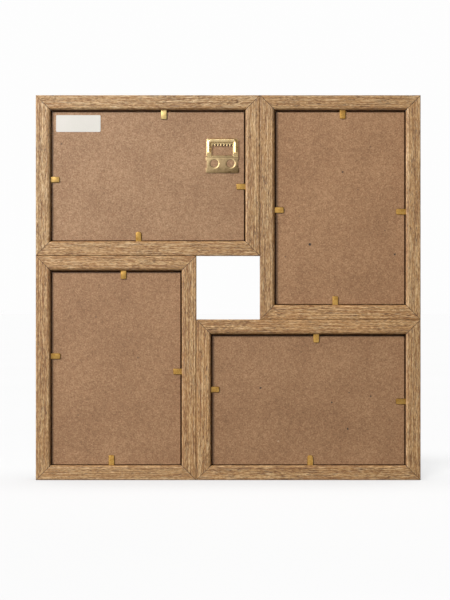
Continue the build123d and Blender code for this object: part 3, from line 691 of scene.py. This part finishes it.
def make_rail(frame_name, side, number):
    x0, z0, w, h = FRAMES[frame_name]
    length = w if side in ("top", "bottom") else h
    gap, chamfer = -0.01, 0.16
    n = len(SECTION)
    y, u = SECTION[:, 0], SECTION[:, 1]
    start, stop = -length / 2 + u + gap, length / 2 - u - gap
    columns = int(round(length / 1.4))
    near = (0.0, 0.16, 0.30, 0.48)
    ts = [v / length for v in near] + [i / columns for i in range(1, columns)] + [1 - v / length for v in reversed(near)]
    rng = random.Random(1000 + number)
    seed, slide = number * 3.7, rng.uniform(0, 400)
    verts, co, rel, seam = [], [], [], []
    for i, t in enumerate(ts):
        x = start + (stop - start) * t
        if i < len(near):
            x = start + near[i]
        elif i >= len(ts) - len(near):
            x = stop - near[len(ts) - 1 - i]
        s = x + slide
        v = SECTION_S
        sway = fbm(s / 30.0, v / 9.0, seed) * 3.0 + fbm(s / 7.0, v / 3.2, seed + 5) * 0.5
        r = 0.70 * fbm(s / 9.0, (v + sway) / 0.95, seed + 9, 2) + 0.30 * fbm(s / 16.0, (v + sway) / 2.0, seed + 3, 2)
        r = np.clip((r - 0.30) / 0.42, 0, 1)
        push = -0.085 * (1 - r)
        if i in (0, len(ts) - 1):
            push = push - chamfer
        # slightly uneven arrises, as sanded
        push = push - 0.03 * fbm(s / 40.0, v / 30.0, seed + 2)
        verts.append(np.stack([x, y + SECTION_N[:, 0] * push, u + SECTION_N[:, 1] * push], 1))
        co.append(np.stack([s, v, np.full(n, seed)], 1))
        rel.append(r)
        seam.append(np.full(n, (1.0, 0.9, 0.35, 0.0)[min(i, len(ts) - 1 - i, 3)]))
    verts = np.concatenate(verts)
    faces = []
    for i in range(len(ts) - 1):
        for j in range(n):
            k = (j + 1) % n
            if j == n - 1:
                continue
            faces.append((i * n + j, i * n + k, (i + 1) * n + k, (i + 1) * n + j))
        faces.append((i * n + n - 1, i * n, (i + 1) * n, (i + 1) * n + n - 1))
    faces.append(tuple(range(n)))
    faces.append(tuple((len(ts) - 1) * n + j for j in reversed(range(n))))
    ob = new_object(f"{frame_name}_{side}_moulding", to_row(frame_name, side, verts), faces, OAK)
    me = ob.data
    a = me.attributes.new("rail_co", "FLOAT_VECTOR", "POINT")
    a.data.foreach_set("vector", np.concatenate(co).astype(np.float32).ravel())
    a = me.attributes.new("relief", "FLOAT", "POINT")
    a.data.foreach_set("value", np.concatenate(rel).astype(np.float32))
    a = me.attributes.new("tone", "FLOAT", "POINT")
    a.data.foreach_set("value", np.full(len(verts), rng.random(), np.float32))
    a = me.attributes.new("seam", "FLOAT", "POINT")
    a.data.foreach_set("value", np.concatenate(seam).astype(np.float32))
    # the bare rebate wall, which the oak material darkens, partly as painted shade
    shaded_rebate_wall = ((SECTION[:, 1] >= REBATE_W - 0.01) & (SECTION[:, 0] <= SEAT_Y + 0.01)).astype(np.float32)
    a = me.attributes.new("bare_and_shaded", "FLOAT", "POINT")
    a.data.foreach_set("value", np.tile(shaded_rebate_wall, len(ts)).astype(np.float32))
    # the upper left rails get the paler hue of a painted sheen
    tint(ob, RAIL_LIGHT[frame_name][SIDES.index(side)],
         SHEEN_HUE if frame_name == "top_left" and side in ("top", "left") else WARM)
    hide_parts(f"{frame_name}_rail_{side}")
    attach(ob, "frame")
    return ob


for i, (name, side) in enumerate((f, s) for f in FRAMES for s in SIDES):
    make_rail(name, side, i + 1)


# ------------------------------------------------------------------------- flat sheets
def make_sheet(name, cx, cz, w, h, y0, y1, step, wave, bevel, material, radius=0.0, seed=0.0, curl=0.0):
    """A flat slab with finely divided faces, softened edges and a slight waviness, in mm."""
    bm = bmesh.new()
    nx, nz = max(2, int(round(w / step))), max(2, int(round(h / step)))
    ends = [0.0, bevel] + [radius * k for k in (0.25, 0.5, 0.75, 1.0) if radius * k > bevel * 1.5]

    def stations(size, count):
        inner = [-size / 2 + size * i / count for i in range(1, count)]
        inner = [v for v in inner if abs(v) < size / 2 - ends[-1] - 0.05]
        return [-size / 2 + e for e in ends] + inner + [size / 2 - e for e in reversed(ends)]
    xs, zs = stations(w, nx), stations(h, nz)
    def place(x, z):
        """Rounds the slab's corners in plan."""
        if radius <= 0:
            return x, z
        qx, qz = abs(x) - (w / 2 - radius), abs(z) - (h / 2 - radius)
        if qx > 0 and qz > 0:
            # map the square corner onto the quarter disc
            m_ = max(qx, qz)
            d = math.hypot(qx, qz)
            k = m_ / d if d > 0 else 1.0
            x = math.copysign(w / 2 - radius + qx * k, x)
            z = math.copysign(h / 2 - radius + qz * k, z)
        return x, z
    layers = []
    for side_y, sign in ((y0, 1), (y1, -1)):
        grid = []
        for ix, x in enumerate(xs):
            row = []
            for iz, z in enumerate(zs):
                px, pz = place(x, z)
                edge = ix in (0, len(xs) - 1) or iz in (0, len(zs) - 1)
                dy = sign * bevel * 0.9 if edge else 0.0
                dy += sign * wave * float(fbm((px + cx) / 22.0, (pz + cz) / 22.0, seed, 2))
                if curl:
                    e = max(abs(x) / (w / 2), 0.0) ** 10 * 0.6 + max(abs(z) / (h / 2), 0.0) ** 14 * 0.4
                    dy -= curl * e
                row.append(bm.verts.new(((cx + px) * MM, (side_y + dy) * MM, (cz + pz) * MM)))
            grid.append(row)
        layers.append(grid)
    for grid, flip in ((layers[0], False), (layers[1], True)):
        for i in range(len(xs) - 1):
            for j in range(len(zs) - 1):
                f = [grid[i][j], grid[i + 1][j], grid[i + 1][j + 1], grid[i][j + 1]]
                bm.faces.new(f[::-1] if flip else f)
    a, b = layers
    ring = ([(i, 0) for i in range(len(xs))] + [(len(xs) - 1, j) for j in range(1, len(zs))]
            + [(i, len(zs) - 1) for i in range(len(xs) - 2, -1, -1)] + [(0, j) for j in range(len(zs) - 2, 0, -1)])
    for k in range(len(ring)):
        (i0, j0), (i1, j1) = ring[k], ring[(k + 1) % len(ring)]
        bm.faces.new((a[i0][j0], a[i1][j1], b[i1][j1], b[i0][j0]))
    bmesh.ops.recalc_face_normals(bm, faces=bm.faces)
    me = bpy.data.meshes.new(name)
    bm.to_mesh(me)
    bm.free()
    me.materials.append(material)
    me.shade_smooth()
    me.set_sharp_from_angle(angle=math.radians(35))
    ob = bpy.data.objects.new(name, me)
    bpy.context.scene.collection.objects.link(ob)
    return ob


for k, (name, (x0, z0, w, h)) in enumerate(FRAMES.items()):
    pw, ph = (152.0, 102.0) if w > h else (102.0, 152.0)
    cx, cz = x0 + w / 2, z0 + h / 2 - PANE_DROP
    board = make_sheet(f"{name}_hardboard_back", cx, z0 + h / 2 - BOARD_DROP, pw - 1.0, ph - 1.0, BOARD_Y, PHOTO_Y,
                       2.6, 0.06, 0.22, BOARD,
                       radius=0.5, seed=3.0 + k)
    # the top-left board gets the bluer hue of a painted sheen
    tint(board, BOARD_LIGHT[name], (1.0, 1.02, 1.04) if name == "top_left" else (1.03, 1.0, 0.95))
    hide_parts(f"{name}_backing_board")
    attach(board, "frame")
    pane = make_sheet(f"{name}_glass_pane", cx, cz, pw, ph, GLASS_Y, SEAT_Y, 12.0, 0.0, 0.25, GLASS, radius=0.4)
    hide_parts(f"{name}_glass")
    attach(pane, "frame")
    sheet = make_sheet(f"{name}_insert_sheet", cx, cz, pw - 0.1, ph - 0.1, PHOTO_Y + 0.02, GLASS_Y - 0.02, 3.0,
                       0.0, 0.03, INSERT)
    co = np.array([v.co for v in sheet.data.vertices]) / MM
    lx, lz = co[:, 0] - cx, co[:, 2] - cz
    inset = np.minimum(pw / 2 - np.abs(lx), ph / 2 - np.abs(lz))
    a = sheet.data.attributes.new("sheet_co", "FLOAT_VECTOR", "POINT")
    a.data.foreach_set("vector", np.stack([lx + 300 * k, lz, inset], 1).astype(np.float32).ravel())
    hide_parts(f"{name}_photo_insert")
    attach(sheet, "frame")

sticker = make_sheet("blank_sticker_paper", -117.8, 280.0, 35.0, 13.2, BOARD_Y - 0.13, BOARD_Y - 0.01, 1.1, 0.0, 0.03,
                     STICKER, radius=0.9, seed=8.0, curl=0.05)
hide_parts("blank_sticker")
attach(sticker, "frame")


# ------------------------------------------------------------------------- tabs
def make_tab(frame_name, side):
    spot, reach, lean, roll, tip_r = TABS[frame_name][side]
    at = along(frame_name, side, spot)
    rng = random.Random(f"{frame_name}{side}")
    # a rounded rectangle as the strip's section: (across -1..1, thickness -1..1)
    sec = []
    hw, ht, r = TAB_W / 2, TAB_T / 2, 0.235
    for cxs, cys, a0 in ((1, 1, 0), (-1, 1, 90), (-1, -1, 180), (1, -1, 270)):
        for q in range(5):
            a = math.radians(a0 + 90 * q / 4)
            sec.append((cxs * (hw - r) + r * math.cos(a), cys * (ht - r) + r * math.sin(a)))
    # extra points across the two faces
    full = []
    for i, p in enumerate(sec):
        q = sec[(i + 1) % len(sec)]
        full.append(p)
        if abs(p[0] - q[0]) > 1.0:
            for t in np.linspace(0, 1, 9)[1:-1]:
                full.append((p[0] + (q[0] - p[0]) * t, p[1] + (q[1] - p[1]) * t))
    sec = np.array(full)
    u_tip = TAB_AXIS_U + reach
    us = list(np.linspace(REBATE_W - 2.4, TAB_AXIS_U + 1.2, 12)) + list(
        np.linspace(TAB_AXIS_U + 1.5, u_tip - tip_r, 10))
    tip = [u_tip - tip_r * (1 - math.sin(math.radians(a))) for a in (15, 30, 45, 58, 70, 80, 87)]
    us += tip
    rows, edge = [], []
    for u in us:
        over = max(0.0, (u - (u_tip - tip_r)) / tip_r)
        cut = tip_r * (1 - math.sqrt(max(0.0, 1 - over * over))) if over > 0 else 0.0
        half = (hw - cut) / hw
        d = max(0.0, u - TAB_AXIS_U)
        f = d / reach
        # the strip leaves the wood, bows a little off the board and comes back to it at its tip
        bow = -(math.sin(math.pi * min(1.0, f)) * lean * 0.055) + 0.05 * f
        thin = 1.0 - 0.18 * max(0.0, (u - (u_tip - 0.5)) / 0.5)
        tilt = math.radians(roll) * f * (1 if rng is None else 1)
        px = sec[:, 0] * half
        py = sec[:, 1] * thin
        # pressed slightly round across the strip
        dish = 0.10 * (1 - (px / hw) ** 2) * min(1.0, f * 2)
        yy = py * math.cos(tilt) - px * math.sin(tilt) * 0.6 - dish
        rows.append(np.stack([at + px + 0.02 * rng.uniform(-1, 1), TAB_AXIS_Y + bow + yy,
                              np.full(len(sec), u)], 1))
        # nearness to the strip's edges and tip, where the material lays tarnish and painted contact shade
        side_in = np.minimum(hw * half - np.abs(px), u_tip - u)
        edge.append(np.clip(1 - side_in / 0.38, 0, 1))
    verts = np.concatenate(rows)
    n = len(sec)
    # keep clear of the board's surface at rest
    verts[:, 1] = np.minimum(verts[:, 1], BOARD_Y - 0.02)
    faces = []
    for i in range(len(us) - 1):
        for j in range(n):
            k2 = (j + 1) % n
            faces.append((i * n + j, i * n + k2, (i + 1) * n + k2, (i + 1) * n + j))
    faces.append(tuple(range(n)))
    faces.append(tuple((len(us) - 1) * n + j for j in reversed(range(n))))
    ob = new_object(f"{frame_name}_{side}_tab_strip", to_row(frame_name, side, verts), faces, TAB_BRASS)
    # the tab's lightness, partly its own and partly painted light
    tint(ob, TAB_LIGHT[frame_name][SIDES.index(side)])
    a = ob.data.attributes.new("edge", "FLOAT", "POINT")
    a.data.foreach_set("value", np.concatenate(edge).astype(np.float32))
    # the tone holds each tab's tarnish and its painted glint
    a = ob.data.attributes.new("tone", "FLOAT", "POINT")
    a.data.foreach_set("value", np.full(len(verts), TAB_TARNISH_AND_GLINT[frame_name][SIDES.index(side)], np.float32))
    body = f"{frame_name}_tab_{side}"
    nodes = [body] + ([f"{frame_name}_tab_shanks"] if side == "top" else [])
    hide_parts(*nodes)
    p = to_row(frame_name, side, [(at, TAB_AXIS_Y, REBATE_W - 0.05), (at, TAB_AXIS_Y, TAB_AXIS_U + 0.75)])
    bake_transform(ob)
    return ob


for name in FRAMES:
    for side in SIDES:
        make_tab(name, side)


# ------------------------------------------------------------------------- hanger
def formed(node, name, body, material, voxel, smooth_steps):
    """A stamped and plated version of a sheet-metal node: its mesh with all arrises softened."""
    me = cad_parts[node].data.copy()
    me.name = name
    me.materials.clear()
    me.materials.append(material)
    ob = bpy.data.objects.new(name, me)
    bpy.context.scene.collection.objects.link(ob)
    rm = ob.modifiers.new("even", "REMESH")
    rm.mode = "VOXEL"
    rm.voxel_size = voxel * MM
    rm.use_smooth_shade = True
    sm = ob.modifiers.new("soften", "SMOOTH")
    sm.factor = 0.5
    sm.iterations = smooth_steps
    bpy.context.view_layer.update()
    dg = bpy.context.evaluated_depsgraph_get()
    done = bpy.data.meshes.new_from_object(ob.evaluated_get(dg), depsgraph=dg)
    ob.modifiers.clear()
    ob.data = done
    if not done.materials:
        done.materials.append(material)
    done.shade_smooth()
    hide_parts(node)
    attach(ob, body)
    return ob


PLATE = formed("hanger_plate", "hanger_plate_stamped", "frame", PLATE_BRASS, 0.11, 3)
BAIL = formed("hanger_bail", "hanger_bail_stamped", "hanger_bail", BAIL_BRASS, 0.09, 2)

# ------------------------------------------------------------------------- what stays as CAD
for node, material in (("corner_v_nails", STEEL), ("joining_dowels", DOWEL)):
    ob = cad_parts[node]
    ob.data.materials.clear()
    ob.data.materials.append(material)


# ------------------------------------------------------------------------- studio
def studio():
    """A wide plain white floor under a plain white sky."""
    m = Mat("studio_white")
    co = m.object_co()
    n = m.noise(m.scaled(co, (3.0, 3.0, 3.0)), 1.0, 2.0, 0.5)
    m.set("Base Color", m.ramp(n, [(0.3, (0.298, 0.298, 0.298, 1.0)), (0.7, (0.302, 0.302, 0.302, 1.0))], "LINEAR"))
    m.set("Roughness", m.fit(n, 0.3, 0.7, 0.95, 0.9))
    m.set("Specular IOR Level", 0.0)
    m.set("Emission Color", (0.957, 0.976, 1.0, 1.0))
    m.set("Emission Strength", FLOOR_GLOW)
    seg = 128
    verts, faces = [(0.0, 0.0, 0.0)], []
    radii = (0.25, 0.5, 1.0, 2.0, 4.0, 9.0, 18.0)
    for r in radii:
        for k in range(seg):
            a = 2 * math.pi * k / seg
            verts.append((r * math.cos(a), r * math.sin(a), 0.0))
    for k in range(seg):
        faces.append((0, 1 + k, 1 + (k + 1) % seg))
    for i in range(len(radii) - 1):
        for k in range(seg):
            a, b = 1 + i * seg + k, 1 + i * seg + (k + 1) % seg
            faces.append((a, a + seg, b + seg, b))
    ob = new_object("studio_floor", verts, faces, m.m)
    me = ob.data
    bm = bmesh.new()
    bm.from_mesh(me)
    bm.faces.ensure_lookup_table()
    if bm.faces[0].normal.z < 0:
        bmesh.ops.reverse_faces(bm, faces=bm.faces)
    bm.to_mesh(me)
    bm.free()
    ob.visible_diffuse = False
    return ob


FLOOR_GLOW = 0.376
FLOOR = studio()
# lights linked to the first collection leave the floor alone, to the second light nothing else
OFF_FLOOR = bpy.data.collections.new("all_but_the_floor")
OFF_FLOOR.objects.link(FLOOR)
OFF_FLOOR.collection_objects[0].light_linking.link_state = "EXCLUDE"
ON_FLOOR = bpy.data.collections.new("floor_only")
ON_FLOOR.objects.link(FLOOR)


def aim(ob, at, target):
    ob.location = at
    d = Vector(target) - Vector(at)
    ob.rotation_euler = d.to_track_quat("-Z", "Y").to_euler()


def area(name, at, target, size, power, colour=(1.0, 1.0, 1.0), size_y=None):
    data = bpy.data.lights.new(name, "AREA")
    data.shape = "RECTANGLE" if size_y else "SQUARE"
    data.size = size
    if size_y:
        data.size_y = size_y
    data.energy = power
    data.color = colour
    ob = bpy.data.objects.new(name, data)
    aim(ob, at, target)
    ob.visible_camera = False
    bpy.context.scene.collection.objects.link(ob)
    ob.light_linking.receiver_collection = OFF_FLOOR
    return ob


def floor_sun(name, direction, strength, angle):
    data = bpy.data.lights.new(name, "SUN")
    data.energy = strength
    data.angle = math.radians(angle)
    ob = bpy.data.objects.new(name, data)
    aim(ob, tuple(-2.0 * c for c in direction), (0.0, 0.0, 0.0))
    bpy.context.scene.collection.objects.link(ob)
    ob.light_linking.receiver_collection = ON_FLOOR
    return ob


KEY = area("key", (-1.06, -1.00, 1.10), (0.0, 0.0, 0.15), 0.36, 18.5, (1.0, 0.975, 0.94))
KEY_FILL = area("key_fill", (-1.06, -1.00, 1.10), (0.0, 0.0, 0.15), 0.36, 13.0, (1.0, 0.975, 0.94))
GLASS_SIDE = area("glass_side", (0.75, 1.35, 1.05), (0.0, 0.0, 0.15), 0.7, 16.0)
# a bright panel to the left that only shows in shiny surfaces
PANEL = area("panel", (-1.05, -0.42, 0.52), (0.0, 0.0, 0.22), 0.7, 12.0, size_y=0.9)
PANEL.visible_diffuse = False
# and a soft one nearer the camera, which lays a faint sheen over the upper left
VEIL = area("veil", (-0.50, -1.25, 0.66), (-0.08, 0.0, 0.24), 0.45, 9.0)
VEIL.visible_diffuse = False
# the plated bail is lit by two soft panels of its own instead of the key light
BAIL_ONLY = bpy.data.collections.new("bail_only")
BAIL_ONLY.objects.link(BAIL)
NOT_KEY = bpy.data.collections.new("all_but_floor_and_bail")
for ob in (FLOOR, BAIL):
    NOT_KEY.objects.link(ob)
for item in NOT_KEY.collection_objects:
    item.light_linking.link_state = "EXCLUDE"
KEY.light_linking.receiver_collection = NOT_KEY
KEY_FILL.light_linking.receiver_collection = NOT_KEY
# part of the key light passes the small hanger without a shadow, so that its shadow stays soft
NO_SHADE = bpy.data.collections.new("all_but_the_hanger")
for ob in (BAIL, PLATE):
    NO_SHADE.objects.link(ob)
for item in NO_SHADE.collection_objects:
    item.light_linking.link_state = "EXCLUDE"
KEY_FILL.light_linking.blocker_collection = NO_SHADE
GLINT = area("glint", (-1.25, -1.00, 0.62), (-0.005, 0.0, 0.26), 1.7, 12.4, size_y=1.1)
CANOPY = area("canopy", (-0.15, -1.00, 1.45), (-0.005, 0.0, 0.26), 0.9, 4.2)
for lamp in (GLINT, CANOPY):
    lamp.light_linking.receiver_collection = BAIL_ONLY
OVERHEAD = floor_sun("overhead", (0.0, 0.0, -1.0), 3.40, 40.0)
LOW_SUN = floor_sun("low_left", (0.18, 1.0, -1.45), 2.69, 17.0)

world = bpy.data.worlds.new("studio_air")
bpy.context.scene.world = world
world.use_nodes = True
wnt = world.node_tree
bg = wnt.nodes["Background"]
path = wnt.nodes.new("ShaderNodeLightPath")
air = wnt.nodes.new("ShaderNodeMix")
air.data_type = "RGBA"
air.inputs[6].default_value = (1.0, 0.90, 0.78, 1.0)
air.inputs[7].default_value = (1.0, 1.0, 1.0, 1.0)
wnt.links.new(path.outputs["Is Camera Ray"], air.inputs[0])
wnt.links.new(air.outputs[2], bg.inputs[0])
level = wnt.nodes.new("ShaderNodeMapRange")
level.inputs["To Min"].default_value = 0.26
level.inputs["To Max"].default_value = 0.985
wnt.links.new(path.outputs["Is Camera Ray"], level.inputs["Value"])
wnt.links.new(level.outputs[0], bg.inputs[1])

# ------------------------------------------------------------------------- camera
PX_PER_MM = 1.2753
DISTANCE = 1500.0
cam_data = bpy.data.cameras.new("camera")
cam = bpy.data.objects.new("camera", cam_data)
bpy.context.scene.collection.objects.link(cam)
cam_data.sensor_width = 36.0
cam_data.sensor_fit = "AUTO"
cam_data.lens = 18.0 * DISTANCE / (300.0 / PX_PER_MM)
cam_data.clip_start, cam_data.clip_end = 0.05, 30.0
cam.location = (-2.5 * MM, (Y_BACK - DISTANCE) * MM, 141.3 * MM)
cam.rotation_euler = (math.radians(90), 0.0, 0.0)
bpy.context.scene.camera = cam

view = bpy.context.scene.view_settings
view.view_transform = "Standard"
view.look = "None"
view.exposure = 0.0
view.gamma = 1.0

bpy.context.view_layer.update()
